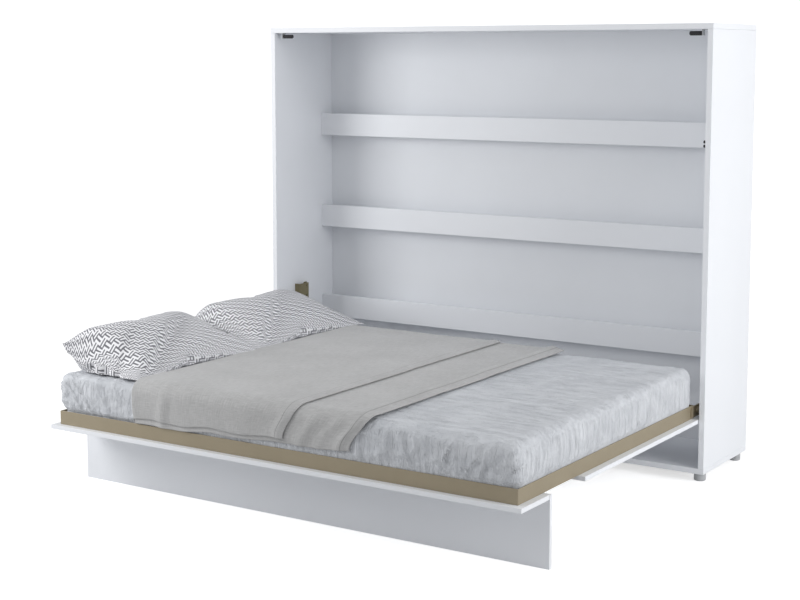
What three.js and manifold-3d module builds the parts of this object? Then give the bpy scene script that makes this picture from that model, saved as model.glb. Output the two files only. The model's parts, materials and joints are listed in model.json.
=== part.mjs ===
// Horizontal wall bed: a shallow cabinet with a double bed that folds down out of it.
// It is drawn let down, standing on its folding leg board. Millimetres, +Z up.
// X runs along the bed (head at -X), +Y points into the wall. While it is drawn, Y = 0 is the
// cabinet's front edge; the whole group is then moved so that the origin is the centre of the
// footprint on the floor.
import * as THREE from 'three';
import { mergeVertices } from 'three/addons/utils/BufferGeometryUtils.js';
import Module from 'manifold-3d';

const wasm = await Module();
wasm.setup();

// ---- driving dimensions -------------------------------------------------------------------
const GAP = 0.3; // clearance between pieces that touch

const WIDTH = 2110; // cabinet outside, along the bed
const HEIGHT = 1785; // cabinet outside, with its feet
const DEPTH = 460; // cabinet outside, front to back
const BOARD = 22; // cabinet board thickness
const FOOT_HEIGHT = 34;
const BACK_FACE = 438; // front of the thin back panel
const BACK_THICKNESS = 4;
const GROOVE = 8; // depth of the groove that holds the back panel

const RAIL_FRONT = 352; // front of the rails that fix the cabinet to the wall
const RAIL_THICKNESS = 16;
const RAIL_HEIGHT = 102;
const RAIL_BOTTOMS = { lower: 428, middle: 858, top: 1290 };

const BED_BOARD = 16; // front boards and leg board thickness
const BED_TOP = 251.3; // top face of the front boards, bed let down
const BOARD_SIDE_GAP = 3.3; // from a front board's end to the cabinet side
const OUTER_EDGE = -1432; // outer edge of the outer front board
const LEG_FACE = -1240; // outer face of the leg board
const LOWER_BOARD_FRONT = -985;
const LOWER_BOARD_BACK = 262;

const FRAME_HEIGHT = 52.6; // steel rim around the mattress
const FRAME_WALL = 3;
const FRAME_FLANGE = 28;
const FRAME_LENGTH = 2006;
const FRAME_FRONT = -1406.5;
const FRAME_BACK = 13.5;

const MATTRESS_TOP = 452;
const SLAT_COUNT = 10;

const PIVOT = { y: 46.4, z: 281.6 }; // the axis that the bed folds about
const PIVOT_RADIUS = 8;
const SPRING_TOP = { y: 168, z: 570 }; // gas spring's pin on the cabinet
const SPRING_FOOT = { y: PIVOT.y + 138, z: PIVOT.z - 10 }; // gas spring's stud on the bed

// ---- places worked out from them ----------------------------------------------------------
const HALF = WIDTH / 2;
const INSIDE = HALF - BOARD; // inner face of a side panel
const FLOOR_TOP = FOOT_HEIGHT + BOARD; // top of the bottom panel
const CEILING = HEIGHT - BOARD; // underside of the top panel
const BOARD_END = INSIDE - BOARD_SIDE_GAP;
const FRAME_BOTTOM = BED_TOP + 0.4;
const FRAME_TOP = FRAME_BOTTOM + FRAME_HEIGHT;
const FRAME_HALF = FRAME_LENGTH / 2;
const FLANGE_TOP = FRAME_BOTTOM + FRAME_WALL;

// ---- materials ----------------------------------------------------------------------------
const paint = (color, roughness, metalness) =>
  new THREE.MeshStandardMaterial({ color, roughness, metalness });

const WHITE = paint(0xf1f2f4, 0.45, 0);
const BACKING = paint(0xe6e8ea, 0.55, 0);
const CHAMPAGNE = paint(0xa59982, 0.45, 0.35);
const CHROME = paint(0xc9ccd0, 0.18, 1);
const BLACK = paint(0x17181a, 0.55, 0);
const GREY_PLASTIC = paint(0x9b9ea1, 0.5, 0);
const BEECH = paint(0xd9bd93, 0.6, 0);
const SHEET = paint(0xdfe3e7, 0.9, 0);
const THROW = paint(0xa9a8a5, 0.95, 0);
const PILLOWCASE = paint(0xc4c5cc, 0.9, 0);

// ---- geometry helpers ---------------------------------------------------------------------
const bed = new THREE.Group();

function add(name, geometry, material) {
  const mesh = new THREE.Mesh(geometry, material);
  mesh.name = name;
  bed.add(mesh);
}

function positionsOnly(geometry) {
  const bare = geometry.clone();
  bare.deleteAttribute('normal');
  bare.deleteAttribute('uv');
  return mergeVertices(bare, 1e-4);
}

function solid(geometry) {
  const bare = positionsOnly(geometry);
  const vertProperties = new Float32Array(bare.attributes.position.array);
  const triVerts = new Uint32Array(bare.index.array);
  return new wasm.Manifold(new wasm.Mesh({ numProp: 3, vertProperties, triVerts }));
}

function fromSolid(manifold) {
  const mesh = manifold.getMesh();
  const geometry = new THREE.BufferGeometry();
  geometry.setAttribute('position', new THREE.BufferAttribute(mesh.vertProperties, 3));
  geometry.setIndex(new THREE.BufferAttribute(mesh.triVerts, 1));
  geometry.computeVertexNormals();
  return geometry;
}

function join(...geometries) {
  const [first, ...rest] = geometries.map(solid);
  return fromSolid(rest.reduce((whole, piece) => whole.add(piece), first));
}

function cut(geometry, ...tools) {
  return fromSolid(tools.reduce((rest, tool) => rest.subtract(solid(tool)), solid(geometry)));
}

function block([x0, x1], [y0, y1], [z0, z1]) {
  const geometry = new THREE.BoxGeometry(Math.abs(x1 - x0), y1 - y0, z1 - z0);
  return geometry.translate((x0 + x1) / 2, (y0 + y1) / 2, (z0 + z1) / 2);
}

// A box whose twelve edges are eased by a small two-facet bevel, as on a banded board.
function easedBlock([x0, x1], [y0, y1], [z0, z1], ease = 0.8) {
  const shape = new THREE.Shape();
  shape.moveTo(x0 + ease, y0 + ease);
  shape.lineTo(x1 - ease, y0 + ease);
  shape.lineTo(x1 - ease, y1 - ease);
  shape.lineTo(x0 + ease, y1 - ease);
  const geometry = new THREE.ExtrudeGeometry(shape, {
    depth: z1 - z0 - 2 * ease,
    bevelThickness: ease,
    bevelSize: ease,
    bevelSegments: 2,
  });
  return geometry.translate(0, 0, z0 + ease);
}

function roundedRectangle([u0, u1], [v0, v1], r) {
  const shape = new THREE.Shape();
  shape.absarc(u1 - r, v0 + r, r, -Math.PI / 2, 0);
  shape.absarc(u1 - r, v1 - r, r, 0, Math.PI / 2);
  shape.absarc(u0 + r, v1 - r, r, Math.PI / 2, Math.PI);
  shape.absarc(u0 + r, v0 + r, r, Math.PI, 1.5 * Math.PI);
  return shape;
}

// Extrudes a shape drawn in the YZ plane from x0 to x1.
function extrudeX(shape, x0, x1, curveSegments = 8) {
  const geometry = new THREE.ExtrudeGeometry(shape, {
    depth: x1 - x0,
    bevelEnabled: false,
    curveSegments,
  });
  const alongX = new THREE.Matrix4().makeBasis(
    new THREE.Vector3(0, 1, 0),
    new THREE.Vector3(0, 0, 1),
    new THREE.Vector3(1, 0, 0),
  );
  return geometry.applyMatrix4(alongX).translate(x0, 0, 0);
}

// A round bar along X between two places, at (y, z).
function barX(radius, x0, x1, y, z, sides = 24) {
  const geometry = new THREE.CylinderGeometry(radius, radius, x1 - x0, sides);
  return geometry.rotateZ(Math.PI / 2).translate((x0 + x1) / 2, y, z);
}

// A turned piece: profile points are [radius, height] from one end of its axis to the other.
function turned(profile, sides = 24) {
  const points = profile.map(([r, h]) => new THREE.Vector2(r, h));
  return new THREE.LatheGeometry(points, sides).rotateX(Math.PI / 2);
}

// Limits along X of something that spans from a to b millimetres out from the middle.
const span = (side, a, b) => (side < 0 ? [-b, -a] : [a, b]);

const SIDES = [
  ['left', -1],
  ['right', 1],
];

// ---- cabinet ------------------------------------------------------------------------------
function cabinet() {
  const groove = [BACK_FACE - GAP, BACK_FACE + BACK_THICKNESS + GAP];
  for (const [label, side] of SIDES) {
    const panel = easedBlock(span(side, INSIDE, HALF), [0, DEPTH], [FLOOR_TOP + GAP, CEILING - GAP]);
    const slot = block(span(side, INSIDE - 1, INSIDE + GROOVE), groove, [0, HEIGHT]);
    add(`side_panel_${label}`, cut(panel, slot), WHITE);
  }
  const grooveX = [-INSIDE - GROOVE, INSIDE + GROOVE];
  const top = easedBlock([-HALF, HALF], [0, DEPTH], [CEILING, HEIGHT]);
  add('top_panel', cut(top, block(grooveX, groove, [CEILING - 1, CEILING + GROOVE])), WHITE);
  const bottom = easedBlock([-HALF, HALF], [0, DEPTH], [FOOT_HEIGHT, FLOOR_TOP]);
  add('bottom_panel', cut(bottom, block(grooveX, groove, [FLOOR_TOP - GROOVE, FLOOR_TOP + 1])), WHITE);

  const backX = INSIDE + GROOVE - GAP;
  const backZ = [FLOOR_TOP - GROOVE + GAP, CEILING + GROOVE - GAP];
  add('back_panel', block([-backX, backX], [BACK_FACE, BACK_FACE + BACK_THICKNESS], backZ), BACKING);

  for (const [label, bottomZ] of Object.entries(RAIL_BOTTOMS)) {
    const railY = [RAIL_FRONT, RAIL_FRONT + RAIL_THICKNESS];
    const rail = easedBlock([-INSIDE + GAP, INSIDE - GAP], railY, [bottomZ, bottomZ + RAIL_HEIGHT]);
    add(`wall_rail_${label}`, rail, WHITE);
  }
}

function feet() {
  const footX = HALF - 31;
  const rows = { front: 44, back: DEPTH - 44 };
  for (const [row, y] of Object.entries(rows)) {
    for (const [label, x] of [['left', -footX], ['middle', 0], ['right', footX]]) {
      const height = FOOT_HEIGHT - GAP;
      const profile = [[0, 0], [22, 0], [24, 2], [24, 9], [20, 13], [20, height - 4], [25, height - 3],
        [25, height], [0, height]];
      add(`foot_${row}_${label}`, turned(profile).translate(x, y, 0), GREY_PLASTIC);
    }
  }
}

// Rubber buffers that the closed bed's front rests against: one in each top corner, on a bent
// steel holder, and a pair of buttons on the right side panel.
function buffers() {
  const radius = 8.5;
  const y = BED_BOARD + radius + 0.8;
  const z = CEILING - 16;
  for (const [label, side] of SIDES) {
    const ears = span(side, HALF - 52, HALF - 49);
    const plate = block(span(side, HALF - 52, HALF - 26), [y - 8, y + 22], [CEILING - 3.2, CEILING - GAP]);
    const tab = block(ears, [y - 8, y + 14], [z - radius, CEILING - GAP]);
    add(`buffer_holder_${label}`, join(plate, tab), GREY_PLASTIC);
    const bar = turned([[0, 0], [6, 0], [8.5, 3], [8.5, 50], [6, 53], [0, 53]], 20);
    const along = bar.rotateY(side < 0 ? Math.PI / 2 : -Math.PI / 2);
    add(`corner_buffer_${label}`, along.translate(side * (HALF - 52 - GAP), y, z), BLACK);
  }
  for (const [label, buttonZ] of [['lower', 1317], ['upper', 1333]]) {
    const dome = turned([[0, 0], [6, 0], [6, 13], [4.5, 16], [2, 16.8], [0, 16.8]], 20);
    const button = dome.rotateY(-Math.PI / 2).translate(INSIDE - GAP, BED_BOARD + 7.5, buttonZ);
    add(`side_buffer_${label}`, button, BLACK);
  }
}

// ---- fold mechanism, cabinet side ----------------------------------------------------------
const PLATE = [HALF - 24.3, HALF - BOARD - GAP]; // steel plate lying on a side panel

function boltHeads(side, places) {
  return places.map(([y, z]) => {
    const [x0, x1] = span(side, PLATE[0] - 2.8, PLATE[0] + 0.5);
    return barX(5.5, x0, x1, y, z, 6);
  });
}

function hingeBracket(side) {
  const [x0, x1] = span(side, ...PLATE);
  const plate = extrudeX(roundedRectangle([18, 132], [252, 348], 12), x0, x1);
  const [b0, b1] = span(side, HALF - 31, HALF - 23.5);
  const boss = barX(14, b0, b1, PIVOT.y, PIVOT.z);
  return join(plate, boss, ...boltHeads(side, [[80, 330], [118, 330], [118, 294]]));
}

function springBracket(side) {
  const outer = HALF - 50.5; // face towards the mattress
  const wall = HALF - 47.7;
  const inner = HALF - BOARD - GAP;
  const [zLow, zHigh] = [530, 605];
  const web = block(span(side, outer, wall), [137, 205], [zLow, zHigh]);
  const front = block(span(side, outer, inner), [137, 139.8], [zLow, zHigh]);
  const back = block(span(side, outer, inner), [202.2, 205], [zLow, zHigh]);
  const foot = block(span(side, ...PLATE), [202.2, 226], [zLow, zHigh]);
  const [p0, p1] = span(side, outer + 1, inner);
  const pin = barX(4, p0, p1, SPRING_TOP.y, SPRING_TOP.z);
  const heads = boltHeads(side, [[215.5, 548], [215.5, 588]]);
  const whole = join(web, front, back, foot, pin, ...heads);
  const [h0, h1] = span(side, outer - 1, wall + 1);
  const holes = [592, 547].map((z) => barX(5, h0, h1, 190, z, 16));
  return cut(whole, ...holes);
}

function cabinetMechanism() {
  for (const [label, side] of SIDES) {
    add(`hinge_bracket_${label}`, hingeBracket(side), CHAMPAGNE);
    const [x0, x1] = span(side, HALF - 51.4, HALF - 31 - GAP);
    add(`pivot_pin_${label}`, barX(PIVOT_RADIUS, x0, x1, PIVOT.y, PIVOT.z), CHROME);
    add(`spring_bracket_${label}`, springBracket(side), CHAMPAGNE);
  }
}

// ---- gas springs ---------------------------------------------------------------------------
const EYE_RADIUS = 9;
const EYE_HALF = 8; // half the width of an eye, along X
const SPRING_LINE = HALF - 37; // the springs' distance from the middle of the bed

// Places a piece drawn along -Z below the origin so that it runs from the top pin to the stud.
function alongSpring(geometry, side) {
  const angle = Math.atan2(SPRING_FOOT.y - SPRING_TOP.y, SPRING_TOP.z - SPRING_FOOT.z);
  return geometry.rotateX(angle).translate(side * SPRING_LINE, SPRING_TOP.y, SPRING_TOP.z);
}

function gasSprings() {
  const length = Math.hypot(SPRING_FOOT.y - SPRING_TOP.y, SPRING_FOOT.z - SPRING_TOP.z);
  const tubeEnd = 200;
  for (const [label, side] of SIDES) {
    const eye = barX(EYE_RADIUS, -EYE_HALF, EYE_HALF, 0, 0);
    const bore = barX(4.3, -EYE_HALF - 1, EYE_HALF + 1, 0, 0);
    const tube = turned([[0, -tubeEnd], [8, -tubeEnd], [9, -tubeEnd + 1], [9, -16], [6, -12], [6, -5],
      [0, -5]]);
    const hollow = turned([[0, -tubeEnd - 1], [5.3, -tubeEnd - 1], [5.3, -26], [0, -26]]);
    const barrel = cut(join(cut(tube, hollow), eye), bore);
    add(`gas_spring_cylinder_${label}`, alongSpring(barrel, side), BLACK);

    const rodTop = -34;
    const rod = turned([[0, -length + 5], [4, -length + 5], [4, rodTop - 9], [5, rodTop - 8], [5, rodTop],
      [0, rodTop]], 20);
    const footEye = barX(EYE_RADIUS, -EYE_HALF, EYE_HALF, 0, -length);
    const footBore = barX(4.3, -EYE_HALF - 1, EYE_HALF + 1, 0, -length);
    add(`gas_spring_rod_${label}`, alongSpring(cut(join(rod, footEye), footBore), side), CHROME);
  }
}

// ---- bed frame -----------------------------------------------------------------------------
function rims() {
  const height = [FRAME_BOTTOM, FRAME_TOP];
  const flangeZ = [FRAME_BOTTOM, FLANGE_TOP];
  const crossX = [-FRAME_HALF, FRAME_HALF];
  const flangeX = [-FRAME_HALF + FRAME_WALL + GAP, FRAME_HALF - FRAME_WALL - GAP];
  const frontWeb = easedBlock(crossX, [FRAME_FRONT, FRAME_FRONT + FRAME_WALL], height, 0.6);
  const frontFlange = block(flangeX, [FRAME_FRONT + 1, FRAME_FRONT + FRAME_FLANGE], flangeZ);
  add('rim_front', join(frontWeb, frontFlange), CHAMPAGNE);
  const backWeb = easedBlock(crossX, [FRAME_BACK - FRAME_WALL, FRAME_BACK], height, 0.6);
  const backFlange = block(flangeX, [FRAME_BACK - FRAME_FLANGE, FRAME_BACK - 1], flangeZ);
  add('rim_back', join(backWeb, backFlange), CHAMPAGNE);

  const webY = [FRAME_FRONT + FRAME_WALL + GAP, FRAME_BACK - FRAME_WALL - GAP];
  const flangeY = [FRAME_FRONT + FRAME_FLANGE + GAP, FRAME_BACK - FRAME_FLANGE - GAP];
  for (const [label, side] of SIDES) {
    const web = easedBlock(span(side, FRAME_HALF - FRAME_WALL, FRAME_HALF), webY, height, 0.6);
    const flange = block(span(side, FRAME_HALF - FRAME_FLANGE, FRAME_HALF - 1), flangeY, flangeZ);
    add(`rim_${label}`, join(web, flange), CHAMPAGNE);
  }
}

// Beech battens and a steel middle beam carry the slats above the rim's flange.
function slatBase() {
  const insideX = FRAME_HALF - FRAME_WALL - GAP;
  const low = FLANGE_TOP + GAP;
  const high = low + 20;
  const front = FRAME_FRONT + FRAME_WALL + GAP;
  const back = FRAME_BACK - FRAME_WALL - GAP;
  add('slat_batten_front', block([-insideX, insideX], [front, front + 20], [low, high]), BEECH);
  add('slat_batten_back', block([-insideX, insideX], [back - 20, back], [low, high]), BEECH);
  const middle = (front + back) / 2;
  add('middle_beam', block([-insideX, insideX], [middle - 20, middle + 20], [low, high]), CHAMPAGNE);

  const pitch = 2000 / SLAT_COUNT;
  const halfWidth = 45;
  for (let i = 0; i < SLAT_COUNT; i++) {
    const x = (i - (SLAT_COUNT - 1) / 2) * pitch;
    const slat = easedBlock([x - halfWidth, x + halfWidth], [front, back], [high + GAP, high + 10], 1.5);
    add(`slat_${String(i + 1).padStart(2, '0')}`, slat, BEECH);
  }
}

function frontBoards() {
  const x = [-BOARD_END, BOARD_END];
  const z = [BED_TOP - BED_BOARD, BED_TOP];
  add('front_board_outer', easedBlock(x, [OUTER_EDGE, LEG_FACE - 3], z), WHITE);
  add('front_board_lower', easedBlock(x, [LOWER_BOARD_FRONT, LOWER_BOARD_BACK], z), WHITE);
}

// The arms that carry the bed on the pivot pins, each with a hub, rivets and the spring's stud.
function bedArms() {
  const inner = FRAME_HALF + GAP;
  const outer = inner + 4;
  for (const [label, side] of SIDES) {
    const [x0, x1] = span(side, inner, outer);
    const plate = extrudeX(roundedRectangle([-14, 206], [256, 302], 9), x0, x1);
    const [h0, h1] = span(side, inner, outer + 8);
    const hub = barX(13, h0, h1, PIVOT.y, PIVOT.z);
    const [r0, r1] = span(side, outer - 1, outer + 1.5);
    const rivets = [268, 290].map((z) => barX(4.5, r0, r1, -3, z, 16));
    const stud = barX(6, r0, r1, SPRING_FOOT.y, SPRING_FOOT.z, 16);
    const [c0, c1] = span(side, inner - 1, outer + 9);
    const bore = barX(PIVOT_RADIUS + GAP, c0, c1, PIVOT.y, PIVOT.z);
    add(`bed_arm_${label}`, cut(join(plate, hub, ...rivets, stud), bore), CHAMPAGNE);
  }
}

// ---- leg board -----------------------------------------------------------------------------
// The leg board turns on three small hinges let into its rounded top edge.
const LEG_AXIS = { y: LEG_FACE + BED_BOARD / 2, z: BED_TOP - BED_BOARD / 2 };
const LEG_HINGES = [-780, 0, 780];
const NOTCH = { half: 22, depth: 25 };
const LEG_PIN = 3;

function legBoard() {
  const r = BED_BOARD / 2;
  const outline = new THREE.Shape();
  outline.moveTo(LEG_FACE, 0);
  outline.lineTo(LEG_FACE + BED_BOARD, 0);
  outline.lineTo(LEG_FACE + BED_BOARD, LEG_AXIS.z);
  outline.absarc(LEG_AXIS.y, LEG_AXIS.z, r, 0, Math.PI);
  const board = extrudeX(outline, -BOARD_END, BOARD_END, 10);
  const tools = LEG_HINGES.flatMap((x) => {
    const notchY = [LEG_FACE - 1, LEG_FACE + BED_BOARD + 1];
    const notch = block([x - NOTCH.half, x + NOTCH.half], notchY, [BED_TOP - NOTCH.depth, BED_TOP + 1]);
    return [notch, barX(LEG_PIN + GAP, x - NOTCH.half - 9, x + NOTCH.half + 9, LEG_AXIS.y, LEG_AXIS.z, 16)];
  });
  add('leg_board', cut(board, ...tools), WHITE);
}

function legHinges() {
  const labels = ['left', 'middle', 'right'];
  LEG_HINGES.forEach((x, i) => {
    const leaf = block([x - 20, x + 20], [LEG_FACE - 60, LEG_AXIS.y + 7], [FRAME_BOTTOM, FRAME_BOTTOM + 3]);
    const strap = block([x - 16, x + 16], [LEG_AXIS.y - 5, LEG_AXIS.y + 5], [LEG_AXIS.z, FRAME_BOTTOM + 2]);
    const knuckle = barX(7, x - 16, x + 16, LEG_AXIS.y, LEG_AXIS.z, 16);
    const pin = barX(LEG_PIN, x - NOTCH.half - 8, x + NOTCH.half + 8, LEG_AXIS.y, LEG_AXIS.z, 16);
    add(`leg_hinge_${labels[i]}`, join(leaf, strap, knuckle, pin), CHROME);
  });
}

// ---- bedding -------------------------------------------------------------------------------
function mattress() {
  const round = 30;
  const low = FLANGE_TOP + GAP + 20 + 10 + GAP;
  const x = FRAME_HALF - FRAME_WALL - 0.6 - round;
  const y = [FRAME_FRONT + FRAME_WALL + 0.6 + round, FRAME_BACK - FRAME_WALL - 0.6 - round];
  const body = new THREE.ExtrudeGeometry(roundedRectangle([-x, x], y, 20), {
    depth: MATTRESS_TOP - low - 2 * round,
    bevelThickness: round,
    bevelSize: round,
    bevelSegments: 4,
    curveSegments: 4,
  });
  add('mattress', body.translate(0, 0, low + round), SHEET);
}

// A folded throw lying across the bed, its front end hanging over the mattress.
function throwBlanket() {
  const top = MATTRESS_TOP + 20;
  const under = MATTRESS_TOP + 0.6;
  const faceIn = FRAME_FRONT + FRAME_WALL + 0.2;
  const faceOut = faceIn - 18;
  const hem = 322;
  const outline = new THREE.Shape();
  outline.moveTo(16, under);
  outline.lineTo(16, top);
  outline.lineTo(faceOut + 26, top);
  outline.absarc(faceOut + 26, top - 26, 26, Math.PI / 2, Math.PI);
  outline.lineTo(faceOut, hem);
  outline.lineTo(faceIn, hem);
  outline.lineTo(faceIn, under);
  add('throw_blanket', extrudeX(outline, -612, 442, 4), THROW);
}

// A pillow is a flattened superellipsoid, higher at the head end of the bed.
function pillow(name, yMiddle) {
  const half = { x: 190, y: 345, z: 56 };
  const soften = (value, power) => Math.sign(value) * Math.abs(value) ** power;
  const geometry = positionsOnly(new THREE.SphereGeometry(1, 28, 16));
  const position = geometry.attributes.position;
  for (let i = 0; i < position.count; i++) {
    const u = soften(position.getX(i), 0.6);
    const v = soften(position.getZ(i), 0.6);
    const edge = Math.max(0, 1 - 0.35 * (u * u + v * v));
    position.setXYZ(i, u * half.x, -v * half.y, soften(position.getY(i), 0.8) * half.z * edge);
  }
  geometry.rotateY(0.13);
  geometry.computeBoundingBox();
  const lift = MATTRESS_TOP + 1 - geometry.boundingBox.min.z;
  add(name, geometry.translate(-HALF + 55 + 195, yMiddle, lift), PILLOWCASE);
}

// ---- assembly ------------------------------------------------------------------------------
cabinet();
feet();
buffers();
cabinetMechanism();
gasSprings();
rims();
slatBase();
frontBoards();
bedArms();
legBoard();
legHinges();
mattress();
throwBlanket();
pillow('pillow_front', -1036);
pillow('pillow_back', -300);

bed.position.y = -(OUTER_EDGE + DEPTH) / 2;

export default bed;
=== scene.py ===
"""Looks of a horizontal wall bed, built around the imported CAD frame. Metres, +Z up."""
import json
import math

import bmesh
import bpy
import numpy as np
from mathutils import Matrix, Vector, noise


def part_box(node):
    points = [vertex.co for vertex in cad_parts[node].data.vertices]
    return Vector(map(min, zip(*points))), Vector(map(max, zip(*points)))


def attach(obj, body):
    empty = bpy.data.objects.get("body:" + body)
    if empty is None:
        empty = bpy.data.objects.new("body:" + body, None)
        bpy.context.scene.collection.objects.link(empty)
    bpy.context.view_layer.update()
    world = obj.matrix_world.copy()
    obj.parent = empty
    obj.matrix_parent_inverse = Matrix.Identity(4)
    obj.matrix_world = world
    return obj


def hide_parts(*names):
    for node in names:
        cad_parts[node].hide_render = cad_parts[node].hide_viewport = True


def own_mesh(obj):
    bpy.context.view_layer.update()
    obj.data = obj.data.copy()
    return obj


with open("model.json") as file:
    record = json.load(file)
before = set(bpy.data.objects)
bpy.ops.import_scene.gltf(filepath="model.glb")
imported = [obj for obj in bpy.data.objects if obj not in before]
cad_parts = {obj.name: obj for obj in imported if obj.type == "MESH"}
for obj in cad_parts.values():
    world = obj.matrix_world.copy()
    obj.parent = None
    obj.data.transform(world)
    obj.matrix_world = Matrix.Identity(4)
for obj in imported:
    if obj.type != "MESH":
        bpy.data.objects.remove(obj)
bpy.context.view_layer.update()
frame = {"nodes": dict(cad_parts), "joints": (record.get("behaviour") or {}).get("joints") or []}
nodes = frame["nodes"]
joints = {joint["name"]: joint for joint in frame["joints"]}

# ---- places read from the frame -------------------------------------------------------------
CABINET_LOW, CABINET_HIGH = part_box("side_panel_left")[0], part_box("side_panel_right")[1]
CABINET_LEFT = CABINET_LOW.x
LOWER_LAYER = 1.057  # widths of the folded throw's two layers, along the bed
UPPER_LAYER = 0.757
LAYER_HEIGHTS = (0.0022, 0.0072)  # of each layer's middle above the sheet
FOLD_LENGTH = math.pi * (LAYER_HEIGHTS[1] - LAYER_HEIGHTS[0]) / 2
THROW_WIDTH = LOWER_LAYER + FOLD_LENGTH + UPPER_LAYER
HEM = 0.036
THROW_LEFT = CABINET_LEFT + 0.443
CABINET_FRONT = CABINET_LOW.y
MATTRESS_LOW, MATTRESS_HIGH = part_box("mattress")
RIM_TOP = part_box("rim_front")[1].z


# ---- camera ---------------------------------------------------------------------------------
def make_camera():
    camera = bpy.data.objects.new("camera", bpy.data.cameras.new("camera"))
    bpy.context.scene.collection.objects.link(camera)
    turn, down = math.radians(33.12), math.radians(6.626)
    camera.location = (3.2959, -5.1159, 1.6619)
    camera.rotation_euler = (math.pi / 2 - down, 0, turn)
    camera.data.lens = 69.86
    camera.data.sensor_width = 36
    camera.data.shift_y = -0.08
    camera.data.clip_end = 200
    bpy.context.scene.camera = camera


# ---- materials ------------------------------------------------------------------------------
class Finish:
    """A Principled material with short helpers for its procedural nodes."""

    def __init__(self, name, roughness, metallic=0.0, specular=0.5, sheen=0.0, coat=0.0):
        self.material = bpy.data.materials.new(name)
        self.material.use_nodes = True
        self.tree = self.material.node_tree
        self.shader = self.tree.nodes["Principled BSDF"]
        self.shader.inputs["Roughness"].default_value = roughness
        self.shader.inputs["Metallic"].default_value = metallic
        self.shader.inputs["Specular IOR Level"].default_value = specular
        self.shader.inputs["Sheen Weight"].default_value = sheen
        self.shader.inputs["Sheen Roughness"].default_value = 0.5
        self.shader.inputs["Coat Weight"].default_value = coat
        self.height = None

    def node(self, kind, **inputs):
        made = self.tree.nodes.new(kind)
        for name, value in inputs.items():
            self.feed(made.inputs[name.replace("_", " ")], value)
        return made

    def feed(self, socket, value):
        if isinstance(value, bpy.types.NodeSocket):
            self.tree.links.new(value, socket)
        else:
            socket.default_value = value

    def place(self, scale=(1, 1, 1), turn=(0, 0, 0), uv=None):
        """Coordinates in metres: the object's own, or those of a named UV map."""
        if uv:
            source = self.tree.nodes.new("ShaderNodeUVMap")
            source.uv_map = uv
            start = source.outputs["UV"]
        else:
            start = self.tree.nodes.new("ShaderNodeTexCoord").outputs["Object"]
        return self.node("ShaderNodeMapping", Vector=start, Rotation=turn, Scale=scale).outputs["Vector"]

    def noise(self, where, scale, detail=3.0, roughness=0.55, distortion=0.0):
        made = self.node("ShaderNodeTexNoise", Vector=where, Scale=scale, Detail=detail,
                         Roughness=roughness, Distortion=distortion)
        return made.outputs["Fac"]

    def math(self, kind, a, b=0.0, c=0.0):
        made = self.tree.nodes.new("ShaderNodeMath")
        made.operation = kind
        for socket, value in zip(made.inputs, (a, b, c)):
            self.feed(socket, value)
        return made.outputs[0]

    def ramp(self, value, low, high, out_low=0.0, out_high=1.0):
        made = self.node("ShaderNodeMapRange", Value=value, From_Min=low, From_Max=high,
                         To_Min=out_low, To_Max=out_high)
        return made.outputs["Result"]

    def mix(self, share, a, b):
        made = self.tree.nodes.new("ShaderNodeMix")
        made.data_type = "RGBA"
        self.feed(made.inputs["Factor"], share)
        for socket, value in ((made.inputs[6], a), (made.inputs[7], b)):
            self.feed(socket, value if isinstance(value, bpy.types.NodeSocket) else (*value, 1))
        return made.outputs[2]

    def colour(self, value):
        self.feed(self.shader.inputs["Base Color"], value)

    def rough(self, value):
        self.feed(self.shader.inputs["Roughness"], value)

    def bump(self, height, depth, strength=1.0):
        """Adds a relief of a given depth in metres, on top of those added before."""
        made = self.node("ShaderNodeBump", Height=height, Distance=depth, Strength=strength)
        if self.height is not None:
            self.tree.links.new(self.height, made.inputs["Normal"])
        self.height = made.outputs["Normal"]
        self.feed(self.shader.inputs["Normal"], self.height)


def laminate(name, light, dark, roughness):
    """White melamine: a faint mottling and a fine pearl grain."""
    made = Finish(name, roughness, specular=0.45)
    cloud = made.noise(made.place(), 2.3, 4)
    made.colour(made.mix(made.ramp(cloud, 0.3, 0.7), light, dark))
    grain = made.noise(made.place(), 900, 2)
    made.rough(made.ramp(grain, 0.3, 0.7, roughness - 0.05, roughness + 0.05))
    made.bump(grain, 0.00006)
    made.bump(made.noise(made.place(), 12, 2), 0.0004, 0.25)
    return made.material


def powder_coat(name, base, shade, metallic, roughness):
    made = Finish(name, roughness, metallic, specular=0.5)
    speck = made.noise(made.place(), 1400, 3)
    cloud = made.noise(made.place(), 7, 3)
    share = made.math("MULTIPLY_ADD", speck, 0.5, made.math("MULTIPLY", cloud, 0.5))
    made.colour(made.mix(made.ramp(share, 0.35, 0.65), base, shade))
    made.rough(made.ramp(speck, 0.3, 0.7, roughness - 0.06, roughness + 0.08))
    made.bump(made.noise(made.place(), 700, 2), 0.00012, 0.6)
    return made.material


def bare_metal(name, base, shade, roughness, along):
    """Plated or ground steel, with fine marks drawn out along one axis."""
    made = Finish(name, roughness, 1.0)
    marks = made.noise(made.place(scale=along), 260, 4, 0.7)
    made.colour(made.mix(made.ramp(marks, 0.3, 0.7), base, shade))
    made.rough(made.ramp(marks, 0.25, 0.75, roughness * 0.7, roughness * 1.4))
    made.bump(marks, 0.00003, 0.5)
    return made.material


def moulded(name, base, shade, roughness, scale=650):
    made = Finish(name, roughness, specular=0.4)
    pores = made.noise(made.place(), scale, 3)
    made.colour(made.mix(made.ramp(pores, 0.3, 0.7), base, shade))
    made.rough(made.ramp(pores, 0.3, 0.7, roughness - 0.06, roughness + 0.08))
    made.bump(pores, 0.0001, 0.5)
    return made.material


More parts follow.
